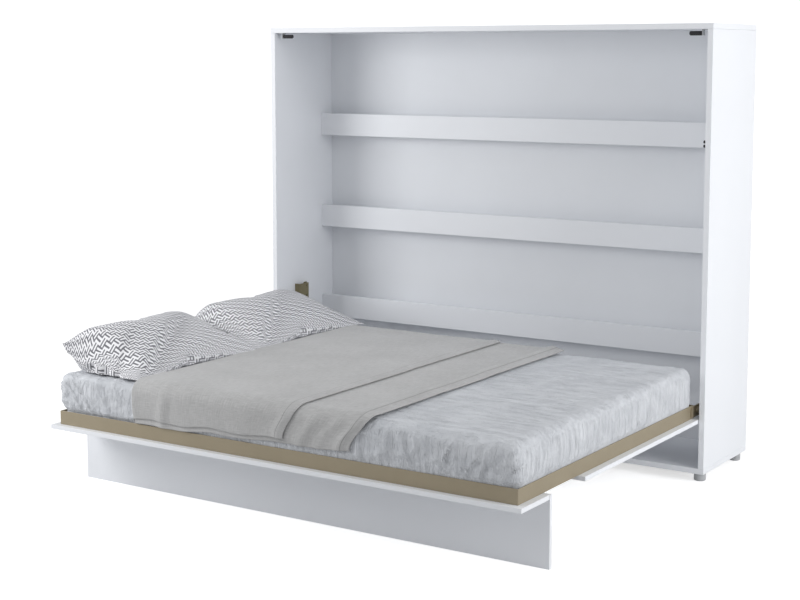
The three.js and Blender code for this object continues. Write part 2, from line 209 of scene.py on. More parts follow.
def beech_wood():
    made = Finish("beech", 0.55, specular=0.35)
    rings = made.noise(made.place(scale=(14, 1.1, 14)), 3.2, 5, 0.6, 0.6)
    flecks = made.noise(made.place(scale=(220, 22, 220)), 4, 2)
    wood = made.mix(made.ramp(rings, 0.35, 0.68), (0.66, 0.47, 0.29), (0.5, 0.33, 0.18))
    made.colour(made.mix(made.ramp(flecks, 0.62, 0.75, 0, 0.45), wood, (0.34, 0.21, 0.11)))
    made.rough(made.ramp(rings, 0.3, 0.7, 0.48, 0.62))
    made.bump(flecks, 0.00012, 0.5)
    return made.material


def cotton_sheet():
    """Pale blue-grey washed cotton: thread grain, soft blotches, and fine creases that run along
    the bed on top and upright down the sides, with a painted highlight along the crease lines."""
    made = Finish("sheet_cotton", 0.86, specular=0.2, sheen=0.12)
    blotch = made.noise(made.place(scale=(1, 1, 1.6)), 9, 5, 0.62, 0.4)
    thread_x = made.noise(made.place(scale=(40, 900, 900)), 1, 2)
    thread_y = made.noise(made.place(scale=(900, 40, 900)), 1, 2)
    threads = made.math("MULTIPLY_ADD", thread_x, 0.5, made.math("MULTIPLY", thread_y, 0.5))
    facing = made.tree.nodes.new("ShaderNodeNewGeometry").outputs["Normal"]
    up = made.ramp(made.node("ShaderNodeSeparateXYZ", Vector=facing).outputs["Z"], 0.35, 0.85)
    lying = made.noise(made.place(scale=(8, 36, 30)), 1, 5, 0.62, 0.5)
    upright = made.noise(made.place(scale=(48, 48, 8)), 1, 5, 0.62, 0.5)
    drawn = made.math("ADD", made.math("MULTIPLY", lying, up),
                      made.math("MULTIPLY", upright, made.math("SUBTRACT", 1.0, up)))
    fine = made.math("SUBTRACT", 1.0, made.math("ABSOLUTE", made.math("MULTIPLY_ADD", drawn, 5.0, -2.5)))
    # Painted highlight: the colour is lighter along the fine crease lines, as on lit crease ridges. The
    # blotches are the cloth's own uneven tone.
    tone = made.math("MULTIPLY_ADD", blotch, 0.8, made.math("MULTIPLY", fine, 0.18))
    made.colour(made.mix(made.ramp(tone, 0.36, 0.64), (0.565, 0.585, 0.62), (0.68, 0.70, 0.735)))
    made.bump(threads, 0.0003, 0.55)
    made.bump(fine, 0.0045, 0.95)
    made.bump(made.noise(made.place(scale=(1, 1.7, 1.2)), 24, 4, 0.6, 0.9), 0.004, 0.5)
    return made.material


def linen_throw():
    """Warm grey linen look: slubbed threads both ways on the cloth's own coordinates."""
    made = Finish("throw_linen", 0.92, specular=0.15, sheen=0.18)
    warp = made.noise(made.place(scale=(430, 26, 1), uv="cloth"), 1, 3, 0.6)
    weft = made.noise(made.place(scale=(26, 430, 1), uv="cloth"), 1, 3, 0.6)
    threads = made.math("MULTIPLY_ADD", warp, 0.5, made.math("MULTIPLY", weft, 0.5))
    cloud = made.noise(made.place(uv="cloth"), 5, 4)
    tone = made.math("MULTIPLY_ADD", threads, 0.8, made.math("MULTIPLY", cloud, 0.2))
    where = made.node("ShaderNodeSeparateXYZ", Vector=made.place(uv="cloth")).outputs["X"]
    stitch = made.math("ADD", made.math("COMPARE", where, HEM, 0.0013),
                       made.math("COMPARE", where, THROW_WIDTH - HEM, 0.0013))
    linen = made.mix(made.ramp(tone, 0.4, 0.6), (0.395, 0.394, 0.393), (0.535, 0.534, 0.533))
    made.colour(made.mix(made.math("MULTIPLY", stitch, 0.55), linen,
                         (0.16, 0.16, 0.16)))
    made.bump(made.math("SUBTRACT", 1.0, stitch), 0.0012, 0.8)
    made.bump(threads, 0.0006, 0.7)
    made.bump(made.noise(made.place(uv="cloth"), 7, 3, 0.5), 0.006, 0.35)
    return made.material


def key_pattern_cotton():
    """White cotton printed with an interlocking grey key pattern: blocks of two bars each,
    alternately upright and lying."""
    made = Finish("pillow_cotton", 0.85, specular=0.2, sheen=0.1)
    block = 0.0215
    spots = made.node("ShaderNodeSeparateXYZ", Vector=made.place(scale=(1 / block, 1 / block, 1), uv="cloth"))
    across, along = spots.outputs["X"], spots.outputs["Y"]
    parity = made.math("ADD", made.math("FLOOR", across), made.math("FLOOR", along))
    upright = made.math("MODULO", made.math("ABSOLUTE", parity), 2.0)
    chosen = made.math("ADD", made.math("MULTIPLY", across, upright),
                       made.math("MULTIPLY", along, made.math("SUBTRACT", 1.0, upright)))
    bars = made.math("FRACT", made.math("MULTIPLY", chosen, 2.0))
    ink = made.math("GREATER_THAN", bars, 0.56)
    thread = made.noise(made.place(scale=(900, 900, 1), uv="cloth"), 1, 2)
    white = made.mix(made.ramp(thread, 0.3, 0.7), (0.86, 0.86, 0.89), (0.93, 0.93, 0.95))
    grey = made.mix(made.ramp(thread, 0.3, 0.7), (0.16, 0.16, 0.18), (0.22, 0.22, 0.24))
    made.colour(made.mix(ink, white, grey))
    made.bump(thread, 0.0002, 0.5)
    made.bump(ink, 0.0002, 0.3)
    return made.material


def make_finishes():
    return {
        "white_laminate": laminate("white_laminate", (0.845, 0.863, 0.898), (0.825, 0.843, 0.878), 0.42),
        "white_hardboard": laminate("white_hardboard", (0.83, 0.85, 0.885), (0.80, 0.82, 0.855), 0.55),
        "champagne_steel": powder_coat("champagne_steel", (0.37, 0.315, 0.222), (0.336, 0.285, 0.199),
                                       0.36, 0.42),
        # Painted shade: a darker copy of the champagne steel for the spring brackets, which stand in the
        # cabinet's shade.
        "champagne_steel_painted_shade": powder_coat("champagne_steel_painted_shade", (0.27, 0.235, 0.135), (0.21, 0.18, 0.10), 0.45, 0.4),
        "zinc_steel": bare_metal("zinc_steel", (0.56, 0.57, 0.58), (0.45, 0.46, 0.47), 0.42, (1, 8, 8)),
        "chrome_rod": bare_metal("chrome_rod", (0.72, 0.73, 0.75), (0.62, 0.63, 0.65), 0.16, (8, 8, 1)),
        "black_paint": powder_coat("black_paint", (0.018, 0.018, 0.02), (0.028, 0.028, 0.03), 0.0, 0.42),
        "black_rubber": moulded("black_rubber", (0.02, 0.02, 0.022), (0.04, 0.04, 0.043), 0.72),
        "grey_plastic": moulded("grey_plastic", (0.50, 0.51, 0.525), (0.44, 0.45, 0.465), 0.5),
        "beech": beech_wood(),
        "sheet_cotton": cotton_sheet(),
        "throw_linen": linen_throw(),
        "pillow_cotton": key_pattern_cotton(),
    }


# Which finish each CAD node has, by the start of its name.
NODE_FINISHES = {
    "side_panel": "white_laminate", "top_panel": "white_laminate", "bottom_panel": "white_laminate",
    "wall_rail": "white_laminate", "front_board": "white_laminate", "leg_board": "white_laminate",
    "back_panel": "white_hardboard", "foot": "grey_plastic", "buffer_holder": "grey_plastic",
    "corner_buffer": "black_rubber", "side_buffer": "black_rubber", "hinge_bracket": "champagne_steel",
    # The spring brackets take the darker champagne steel copy, whose darker base is painted shade.
    "spring_bracket": "champagne_steel_painted_shade", "pivot_pin": "chrome_rod", "gas_spring_cylinder": "black_paint",
    "gas_spring_rod": "chrome_rod", "rim": "champagne_steel", "middle_beam": "champagne_steel",
    "bed_arm": "champagne_steel", "slat": "beech", "leg_hinge": "zinc_steel", "mattress": "sheet_cotton",
    "throw": "throw_linen", "pillow": "pillow_cotton",
}


def dress_cad_nodes(finishes):
    for name, node in nodes.items():
        finish = next(f for start, f in NODE_FINISHES.items() if name.startswith(start))
        for slot in node.material_slots:
            slot.material = finishes[finish]


# ---- mesh helpers ---------------------------------------------------------------------------
def new_piece(name, points, faces, finish, body, smooth=True):
    mesh = bpy.data.meshes.new(name)
    mesh.from_pydata([tuple(p) for p in points], [], faces)
    mesh.validate()
    return piece_of(mesh, finish, body, smooth)


def piece_of(mesh, finish, body, smooth=True):
    mesh.polygons.foreach_set("use_smooth", [smooth] * len(mesh.polygons))
    mesh.materials.append(FINISHES[finish])
    piece = bpy.data.objects.new(mesh.name, mesh)
    bpy.context.scene.collection.objects.link(piece)
    piece["ride_on"] = body
    return piece


def settle(piece):
    """Puts a finished piece on the body that it was made for."""
    body = piece["ride_on"]
    del piece["ride_on"]
    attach(piece, body)


def apply_modifiers(piece):
    graph = bpy.context.evaluated_depsgraph_get()
    mesh = bpy.data.meshes.new_from_object(piece.evaluated_get(graph))
    piece.modifiers.clear()
    piece.data = mesh


def smoothstep(low, high, value):
    share = np.clip((value - low) / (high - low), 0, 1)
    return share * share * (3 - 2 * share)


def crease(x, y, z, width):
    """1 along wandering lines, falling to 0 beside them."""
    return math.exp(-(noise.noise(Vector((x, y, z))) / width) ** 2)


# ---- turned pieces --------------------------------------------------------------------------
def lathe(name, profile, middle, direction, finish, body, steps=48):
    """Turns [radius, height] points about an axis that starts at middle."""
    turn = Vector((0, 0, 1)).rotation_difference(Vector(direction)).to_matrix()
    angles = [2 * math.pi * i / steps for i in range(steps)]
    points = [Vector(middle) + turn @ Vector((r * math.cos(a), r * math.sin(a), h))
              for r, h in profile for a in angles]
    faces = []
    rings = len(profile)
    for k in range(rings if profile[0][0] and profile[-1][0] else rings - 1):
        low, high = k * steps, ((k + 1) % rings) * steps
        faces += [(low + i, low + (i + 1) % steps, high + (i + 1) % steps, high + i) for i in range(steps)]
    piece = new_piece(name, points, faces, finish, body)
    mesh = bmesh.new()
    mesh.from_mesh(piece.data)
    bmesh.ops.remove_doubles(mesh, verts=mesh.verts, dist=1e-6)
    bmesh.ops.recalc_face_normals(mesh, faces=mesh.faces)
    mesh.to_mesh(piece.data)
    mesh.free()
    piece.data.set_sharp_from_angle(angle=math.radians(32))
    return piece


def eased(profile, ease=0.0007):
    """Breaks each outer corner of a turned profile with a small chamfer."""
    points = [Vector(p) for p in profile]
    out = [profile[0]]
    for before, here, after in zip(points, points[1:], points[2:]):
        back, ahead = before - here, after - here
        cut = min(ease, back.length / 3, ahead.length / 3)
        out += [tuple(here + back.normalized() * cut), tuple(here + ahead.normalized() * cut)]
    return out + [profile[-1]]


def make_feet():
    for row in ("front", "back"):
        for side in ("left", "middle", "right"):
            node = f"foot_{row}_{side}"
            low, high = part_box(node)
            radius, height = (high.x - low.x) / 2, high.z - low.z
            profile = [(0, 0), (0.80 * radius, 0), (0.94 * radius, 0.003), (0.94 * radius, height - 0.005),
                       (radius, height - 0.004), (radius, height), (0, height)]
            middle = ((low.x + high.x) / 2, (low.y + high.y) / 2, low.z)
            piece = lathe(f"{node}_turned", eased(profile), middle, (0, 0, 1), "grey_plastic", "cabinet")
            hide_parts(node)
            settle(piece)


def make_buffers():
    for side, inward in (("left", 1), ("right", -1)):
        node = f"corner_buffer_{side}"
        low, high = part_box(node)
        radius, length = (high.z - low.z) / 2, high.x - low.x
        start = (low.x if inward > 0 else high.x, (low.y + high.y) / 2, (low.z + high.z) / 2)
        profile = [(0, 0), (0.7 * radius, 0), (radius, 0.003), (radius, length - 0.003),
                   (0.7 * radius, length), (0, length)]
        piece = lathe(f"{node}_turned", eased(profile, 0.001), start, (inward, 0, 0), "black_rubber",
                      "cabinet")
        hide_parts(node)
        settle(piece)
    for level in ("lower", "upper"):
        node = f"side_buffer_{level}"
        low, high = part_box(node)
        radius, length = (high.z - low.z) / 2, high.x - low.x
        dome = [(radius * math.cos(a), length - radius * 0.6 * (1 - math.sin(a)))
                for a in np.linspace(0, math.pi / 2, 8)]
        start = (high.x, (low.y + high.y) / 2, (low.z + high.z) / 2)
        piece = lathe(f"{node}_turned", [(0, 0), (radius, 0), *dome], start, (-1, 0, 0),
                      "black_rubber", "cabinet", 32)
        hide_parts(node)
        settle(piece)


def make_pins():
    for side, outward in (("left", -1), ("right", 1)):
        node = f"pivot_pin_{side}"
        low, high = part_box(node)
        radius, length = (high.z - low.z) / 2, high.x - low.x
        start = (high.x if outward < 0 else low.x, (low.y + high.y) / 2, (low.z + high.z) / 2)
        profile = [(0, 0), (radius, 0), (radius, length), (0, length)]
        piece = lathe(f"{node}_turned", eased(profile, 0.0012), start, (outward, 0, 0), "chrome_rod",
                      "cabinet")
        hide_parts(node)
        settle(piece)


def join_pieces(name, pieces):
    """Makes one piece of several that are one part, and keeps the first one's finish and body."""
    target = bpy.data.meshes.new(name)
    mesh = bmesh.new()
    for piece in pieces:
        mesh.from_mesh(piece.data)
    mesh.to_mesh(target)
    mesh.free()
    target.materials.append(pieces[0].data.materials[0])
    target.set_sharp_from_angle(angle=math.radians(32))
    first = pieces[0]
    first.data = target
    first.name = name
    for piece in pieces[1:]:
        bpy.data.objects.remove(piece)
    return first


def make_gas_springs():
    eye = [(0.0044, -0.008), (0.0085, -0.008), (0.009, -0.0074), (0.009, 0.0074), (0.0085, 0.008),
           (0.0044, 0.008)]
    for side in ("left", "right"):
        top = Vector(joints[f"spring_tilt_{side}"]["pos_m"])
        along = Vector(joints[f"spring_extend_{side}"]["axis"]).normalized()
        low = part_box(f"gas_spring_rod_{side}")[0]
        length = (top.z - (low.z + 0.009)) / abs(along.z)
        barrel = [(0, 0.0065), (0.006, 0.0065), (0.006, 0.012), (0.009, 0.016), (0.009, 0.1985),
                  (0.0082, 0.2), (0.0055, 0.2), (0.0055, 0.196), (0, 0.196)]
        tube = lathe("tube", barrel, top, along, "black_paint", f"spring_cylinder_{side}")
        ring = lathe("ring", eye, top, (1, 0, 0), "black_paint", f"spring_cylinder_{side}")
        cylinder = join_pieces(f"gas_spring_cylinder_{side}_turned", [tube, ring])
        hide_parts(f"gas_spring_cylinder_{side}")
        settle(cylinder)
        stem = [(0, 0.036), (0.004, 0.036), (0.004, length - 0.007), (0, length - 0.007)]
        rod = lathe("rod", eased(stem), top, along, "chrome_rod", f"spring_rod_{side}")
        foot = lathe("foot", eye, top + along * length, (1, 0, 0), "chrome_rod", f"spring_rod_{side}")
        whole = join_pieces(f"gas_spring_rod_{side}_turned", [rod, foot])
        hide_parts(f"gas_spring_rod_{side}")
        settle(whole)


# ---- mattress and fitted sheet --------------------------------------------------------------
SHEET_CLOTH = 0.0011
CORE_INSET = 0.0030  # from the sheet's outside to the mattress
CORNER_ROUND = 0.038  # of the mattress's upright corners
EDGE_ROUND = 0.040  # of its top edge
TUCK = 0.085  # how far the sheet reaches in under the mattress


def box_lattice(low, high, step):
    """The six faces of a box as one welded lattice of quads."""
    mesh = bmesh.new()
    size = high - low
    for axis in range(3):
        a, b = (axis + 1) % 3, (axis + 2) % 3
        na, nb = (max(2, round(size[k] / step)) for k in (a, b))
        for end in (0, 1):
            grid = [[None] * (nb + 1) for _ in range(na + 1)]
            for i in range(na + 1):
                for j in range(nb + 1):
                    p = Vector(low)
                    p[axis] = (low, high)[end][axis]
                    p[a] += size[a] * i / na
                    p[b] += size[b] * j / nb
                    grid[i][j] = mesh.verts.new(p)
            for i in range(na):
                for j in range(nb):
                    ring = (grid[i][j], grid[i + 1][j], grid[i + 1][j + 1], grid[i][j + 1])
                    mesh.faces.new(ring if end else ring[::-1])
    bmesh.ops.remove_doubles(mesh, verts=mesh.verts, dist=1e-5)
    return mesh


def rounded(p, low, high, inset):
    """Moves a point of the box's lattice onto a box with round corners and edges.
    Gives the point and its outward direction."""
    corner, edge = CORNER_ROUND - inset, EDGE_ROUND - inset
    low, high = low + Vector([inset] * 3), high - Vector([inset] * 3)
    p = Vector([min(max(p[k], low[k]), high[k]) for k in range(3)])
    core = Vector((min(max(p.x, low.x + corner), high.x - corner),
                   min(max(p.y, low.y + corner), high.y - corner), 0))
    out = Vector((p.x, p.y, 0)) - core
    reach = out.length
    side = out.normalized() if reach > 1e-9 else Vector((0, 0, 0))
    flat_reach = max(abs(out.x), abs(out.y))
    reach = flat_reach if reach > 1e-9 else 0
    bottom = 0.4 * edge
    lift = max(0.0, p.z - (high.z - edge)) - max(0.0, (low.z + bottom) - p.z)
    turn = edge if lift >= 0 else bottom
    over = max(0.0, reach - (corner - turn))
    if over > 0 and lift != 0:
        flat = max(over, abs(lift))
        direction = Vector((over, lift)).normalized()
        reach = corner - turn + direction.x * flat
        z = (high.z - edge if lift > 0 else low.z + bottom) + direction.y * flat
        normal = (side * direction.x + Vector((0, 0, direction.y))).normalized()
    else:
        z = p.z
        upright = abs(lift) < turn - 1e-6
        normal = side if upright and reach > 1e-9 else Vector((0, 0, 1 if p.z > (low.z + high.z) / 2 else -1))
    return Vector((core.x, core.y, z)) + side * reach, normal


def crown(p):
    """How far the top swells up at a point."""
    u = (2 * p.x - MATTRESS_LOW.x - MATTRESS_HIGH.x) / (MATTRESS_HIGH.x - MATTRESS_LOW.x)
    v = (2 * p.y - MATTRESS_LOW.y - MATTRESS_HIGH.y) / (MATTRESS_HIGH.y - MATTRESS_LOW.y)
    return 0.006 * (1 - u ** 6) * (1 - v ** 4)


def sheet_relief(p, n):
    """Height of the sheet's crumples at a point, from where it lies and which way it faces."""
    x, y, z = p
    down = (MATTRESS_HIGH.z - z) / (MATTRESS_HIGH.z - MATTRESS_LOW.z)
    end, flank, top = abs(n.y), abs(n.x), max(0.0, n.z)
    to_end = min(x - MATTRESS_LOW.x, MATTRESS_HIGH.x - x)
    corner = math.exp(-to_end / 0.16)
    edge = math.exp(-min(to_end, y - MATTRESS_LOW.y, MATTRESS_HIGH.y - y) / 0.045)
    pull = 3.2 * corner * (1 if x > 0 else -1)
    rise = (0.0058 + 0.0040 * corner) * end * crease(8 * x + pull * down, 3.5 * z, 1.7, 0.075)
    rise += 0.0048 * end * crease(17 * x + 3 * noise.noise(Vector((4 * x, 0, 9 * z))), 6 * z, 5.1, 0.11)
    rise += 0.0046 * end * crease(5 * x, 14 * z, 9.4, 0.10) * (1 - down)
    rise += 0.0038 * flank * crease(0.3, 16 * y, 4 * z + 2 * y, 0.11)
    rise += 0.0014 * flank * crease(2.3, 37 * y, 6 * z, 0.2)
    rise += top * 0.0011 * crease(3 * x, 11 * y + 2 * x, 3.3, 0.12)
    rise += top * 0.0050 * edge * crease(15 * x, 15 * y, 8.8, 0.11)
    return rise * (1 - 0.85 * under_throw(x)) * (1 - 0.8 * flank * spring_end(p))


def spring_end(p):
    """1 along the sides where the closed bed passes the springs, 0 elsewhere."""
    return float(smoothstep(-0.44, -0.34, p.y - CABINET_FRONT))


def under_throw(x):
    """1 where the throw lies over the sheet and keeps it flat."""
    return float(smoothstep(THROW_LEFT, THROW_LEFT + 0.03, x) *
                 smoothstep(THROW_LEFT + LOWER_LAYER - 0.09, THROW_LEFT + LOWER_LAYER - 0.14, x))


def bulge_room(p):
    """How far the mattress may swell past the rim: most at its outer corners, and least where the
    closed bed passes the springs."""
    to_end = min(p.x - MATTRESS_LOW.x, MATTRESS_HIGH.x - p.x)
    outer = 0.0075 + 0.0045 * math.exp(-max(0.0, to_end) / 0.15) - 0.0035 * under_throw(p.x)
    return outer + (0.0015 - outer) * spring_end(p)


def side_swell(p):
    """How far a side of the mattress stands out at a height: nothing inside the rim."""
    w = (2 * p.z - MATTRESS_LOW.z - MATTRESS_HIGH.z) / (MATTRESS_HIGH.z - MATTRESS_LOW.z)
    free = float(smoothstep(RIM_TOP - 0.001, RIM_TOP + 0.020, p.z))
    return bulge_room(p) * max(0.0, 1 - (w - 0.12) ** 2) * free


def mattress_surface(step, inset, relief):
    mesh = box_lattice(MATTRESS_LOW, MATTRESS_HIGH, step)
    for vertex in mesh.verts:
        p, n = rounded(vertex.co, MATTRESS_LOW, MATTRESS_HIGH, inset)
        out = side_swell(p)
        free = float(smoothstep(RIM_TOP - 0.001, RIM_TOP + 0.020, p.z))
        if p.x < THROW_LEFT:
            out -= 0.007 * math.exp(-((p.z - RIM_TOP - 0.002) / 0.008) ** 2)
        p = p + Vector((n.x * out, n.y * out, max(0.0, n.z) * crown(p)))
        if relief and n.z > -0.5:
            p += n * (sheet_relief(p, n) * free)
        vertex.co = p
    return mesh


def finish_mesh(mesh, name, finish, body):
    bmesh.ops.recalc_face_normals(mesh, faces=mesh.faces)
    data = bpy.data.meshes.new(name)
    mesh.to_mesh(data)
    mesh.free()
    return piece_of(data, finish, body)


def make_mattress():
    core = finish_mesh(mattress_surface(0.03, CORE_INSET, False), "mattress_core", "sheet_cotton", "bed")
    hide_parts("mattress")
    settle(core)

    mesh = mattress_surface(0.0075, 0.0006 + SHEET_CLOTH, True)
    inner_low = MATTRESS_LOW + Vector((TUCK, TUCK, 0))
    inner_high = MATTRESS_HIGH - Vector((TUCK, TUCK, 0))
    under = [f for f in mesh.faces if all(v.co.z < MATTRESS_LOW.z + 0.006 for v in f.verts)
             and inner_low.x < f.calc_center_median().x < inner_high.x
             and inner_low.y < f.calc_center_median().y < inner_high.y]
    bmesh.ops.delete(mesh, geom=under, context="FACES")
    sheet = finish_mesh(mesh, "fitted_sheet", "sheet_cotton", "bed")
    thicken(sheet, SHEET_CLOTH, 0.0)
    settle(sheet)
    return core


def thicken(piece, thickness, offset):
    shell = piece.modifiers.new("cloth", "SOLIDIFY")
    shell.thickness = thickness
    shell.offset = offset
    apply_modifiers(piece)


# ---- throw ----------------------------------------------------------------------------------
THROW_CLOTH = 0.0024
DRAPE_ROUND = 0.040


def throw_profile(t, height, face, top, rear):
    """Where a point t metres along the throw from its rear end lies, in the YZ plane, with its
    outward direction."""
    straight = rear - (face + DRAPE_ROUND)
    arc = DRAPE_ROUND * math.pi / 2
    if t < straight:
        return Vector((0, rear - t, top + height)), Vector((0, 0, 1))
    if t < straight + arc:
        a = (t - straight) / DRAPE_ROUND
        out = Vector((0, -math.sin(a), math.cos(a)))
        return Vector((0, face + DRAPE_ROUND, top - DRAPE_ROUND)) + out * (DRAPE_ROUND + height), out
    down = t - straight - arc
    return Vector((0, face - height, top - DRAPE_ROUND - down)), Vector((0, -1, 0))


def hem_height(x, upper):
    """How high the front hem hangs above the floor, by the place along the bed."""
    share = (x - THROW_LEFT) / LOWER_LAYER
    wave = 0.006 * noise.noise(Vector((7 * x, 2.0 + upper, 0))) + 0.003 * math.sin(19 * x)
    return 0.304 + 0.030 * share + ((0.021 - 0.008 * share) if upper else 0) + wave


# Soft upright folds of the hanging part: place along the bed, half width and height.
DRAPE_FOLDS = ((0.603, 0.020, 0.0080), (0.70, 0.05, 0.002), (0.86, 0.08, 0.002), (1.02, 0.06, 0.002),
               (1.30, 0.024, 0.007), (1.39, 0.018, 0.005), (1.475, 0.020, 0.007))


def drape_folds(x, drop):
    """How far the hanging part stands off: the folds grow from the edge of the bed to the hem."""
    grown = float(smoothstep(-0.03, 0.10, drop))
    folds = sum(height * math.exp(-((x - CABINET_LEFT - middle + 0.15 * drop) / width) ** 2)
                for middle, width, height in DRAPE_FOLDS)
    return grown * folds


def throw_point(s, t_share, face, top, rear):
    """A point of the folded throw: s runs across it from the lower layer's right edge, round the
    fold at the left and back along the upper layer; t_share runs from the rear end to the hem."""
    fold = FOLD_LENGTH / math.pi
    upper = s > LOWER_LAYER + FOLD_LENGTH / 2
    if s < LOWER_LAYER:
        x, height, edge = THROW_LEFT + LOWER_LAYER - s, LAYER_HEIGHTS[0], s
    elif s < LOWER_LAYER + FOLD_LENGTH:
        a = (s - LOWER_LAYER) / fold
        x, height, edge = THROW_LEFT - fold * math.sin(a), sum(LAYER_HEIGHTS) / 2 - fold * math.cos(a), 1.0
    else:
        over = s - LOWER_LAYER - FOLD_LENGTH
        x, height, edge = THROW_LEFT + over, LAYER_HEIGHTS[1], UPPER_LAYER - over
    straight = rear - (face + DRAPE_ROUND)
    length = straight + DRAPE_ROUND * math.pi / 2 + (top - DRAPE_ROUND - hem_height(x, upper))
    t = t_share * length
    beside = Vector((x, face, top - DRAPE_ROUND - max(0.0, t - straight - DRAPE_ROUND)))
    round_edge = float(smoothstep(-0.02, 0.05, t - straight))
    rise = drape_folds(x, t - straight) + (side_swell(beside) + 0.0015) * round_edge
    rise += 0.0018 * (1 + noise.noise(Vector((2.2 * x, 2.6 * t, 0.3)))) * (1 - 0.6 * round_edge)
    rise += 0.0016 * crease(1.6 * x, 2.0 * t + x, 4.0, 0.10) * (t < straight)
    if upper:
        rise += 0.0050 * math.exp(-((edge - 0.030) / 0.022) ** 2)
    else:
        rise += 0.0110 * math.exp(-((edge - 0.052) / 0.028) ** 2) * (1 - round_edge)
    place, _ = throw_profile(t, height + rise, face, top, rear)
    share = (x - THROW_LEFT) / LOWER_LAYER
    wander = 0.012 * noise.noise(Vector((0.4, 1.3 * t, 0.9 + upper)))
    hanging = float(smoothstep(straight, length, t) * smoothstep(0.1, 1.0, share))
    place.x = x + wander * share - 0.085 * hanging
    return place


def make_throw():
    top = MATTRESS_HIGH.z + 0.0075
    face = MATTRESS_LOW.y - 0.0045
    rear = MATTRESS_HIGH.y - 0.004
    fold, whole = FOLD_LENGTH, THROW_WIDTH
    lower = np.concatenate([np.linspace(0, 0.09, 22), np.linspace(0.09, LOWER_LAYER, 66)[1:]])
    bend = np.linspace(LOWER_LAYER, LOWER_LAYER + fold, 8)[1:]
    upper = np.concatenate([np.linspace(LOWER_LAYER + fold, whole - 0.09, 48)[1:],
                            np.linspace(whole - 0.09, whole, 22)[1:]])
    across = np.concatenate([lower, bend, upper])
    along = np.concatenate([np.linspace(0, 0.86, 100), np.linspace(0.86, 1, 50)[1:]])
    points = [throw_point(s, t, face, top, rear) for s in across for t in along]
    rows = len(along)
    faces = [(i * rows + j, i * rows + j + 1, (i + 1) * rows + j + 1, (i + 1) * rows + j)
             for i in range(len(across) - 1) for j in range(rows - 1)]
    piece = new_piece("throw_cloth", points, faces, "throw_linen", "bed")
    length = rear - face + top - 0.33
    flat_map(piece, [(s, t * length) for s in across for t in along])
    thicken(piece, THROW_CLOTH, 0.0)
    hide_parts("throw_blanket")
    settle(piece)


def flat_map(piece, places):
    """Keeps where each point lay on the flat cloth, in metres, as the UV map that the weave uses."""
    layer = piece.data.uv_layers.new(name="cloth")
    for loop in piece.data.loops:
        layer.data[loop.index].uv = places[loop.vertex_index]


# ---- pillows --------------------------------------------------------------------------------
PILLOW_FLAT = (0.50, 0.72)
PILLOW_WIDTH = 0.405  # along X, once filled


def pillowcase(name):
    """Two flat layers of cloth that share their rim."""
    steps = [round(side / 0.012) for side in PILLOW_FLAT]
    points, faces, places = [], [], []
    index = {}
    for layer in (1, -1):
        for i in range(steps[0] + 1):
            for j in range(steps[1] + 1):
                rim = i in (0, steps[0]) or j in (0, steps[1])
                if rim and (i, j, 1) in index:
                    index[i, j, layer] = index[i, j, 1]
                    continue
                index[i, j, layer] = len(points)
                u, v = i / steps[0], j / steps[1]
                swell = 0 if rim else 0.004 * layer
                points.append(((u - 0.5) * PILLOW_FLAT[0], (v - 0.5) * PILLOW_FLAT[1], swell))
                places.append((u * PILLOW_FLAT[0], v * PILLOW_FLAT[1]))
    for layer in (1, -1):
        for i in range(steps[0]):
            for j in range(steps[1]):
                ring = [index[a, b, layer] for a, b in ((i, j), (i + 1, j), (i + 1, j + 1), (i, j + 1))]
                faces.append(ring if layer > 0 else ring[::-1])
    piece = new_piece(name, points, faces, "pillow_cotton", "bed")
    flat_map(piece, places)
    return piece


def inflate(piece, frames):
    """Fills a pillowcase by Blender's cloth simulation and keeps the result."""
    cloth = piece.modifiers.new("fill", "CLOTH")
    settings = cloth.settings
    settings.quality = 6
    settings.mass = 0.25
    settings.use_pressure = True
    settings.uniform_pressure_force = 4.0
    settings.tension_stiffness = 22
    settings.compression_stiffness = 18
    settings.shear_stiffness = 8
    settings.bending_stiffness = 0.25
    settings.effector_weights.gravity = 0
    cloth.collision_settings.use_collision = False
    scene = bpy.context.scene
    cloth.point_cache.frame_start = 1
    cloth.point_cache.frame_end = frames
    for step in range(1, frames + 1):
        scene.frame_set(step)
    apply_modifiers(piece)
    scene.frame_set(1)


def straighten(unit, rim, share):
    """Undoes part of the way that a filled case's sides pull in between its corners."""
    made = unit.copy()
    for axis, other in ((0, 1), (1, 0)):
        for side in (-1, 1):
            on_side = rim & (unit[:, axis] * side > 0.55) & (np.abs(unit[:, other]) < 0.995)
            order = np.argsort(unit[on_side, other])
            where, reach = unit[on_side, other][order], np.abs(unit[on_side, axis])[order]
            bins = np.linspace(-1, 1, 33)
            widest = np.array([reach[np.abs(where - b) < 0.06].max(initial=0.8) for b in bins])
            stretch = 1 + share * (1 / np.interp(unit[:, other], bins, widest) - 1)
            beyond = unit[:, axis] * side > 0
            made[beyond, axis] = (unit[:, axis] * stretch)[beyond]
    return made


def sink(u, v, folds):
    """How far the top sinks on the head side of each fold line, deepest along the line."""
    total = np.zeros(len(u))
    for (u0, v0), (u1, v1), depth, spread in folds:
        du, dv = u1 - u0, v1 - v0
        length = math.hypot(du, dv)
        along = ((u - u0) * du + (v - v0) * dv) / length ** 2
        off = ((v - v0) * du - (u - u0) * dv) / length
        taper = smoothstep(-0.25, 0.15, along) * smoothstep(1.25, 0.7, along)
        total += depth * taper * smoothstep(-0.035, 0.055, -off) * np.exp(-np.maximum(-off, 0) / spread)
    return total


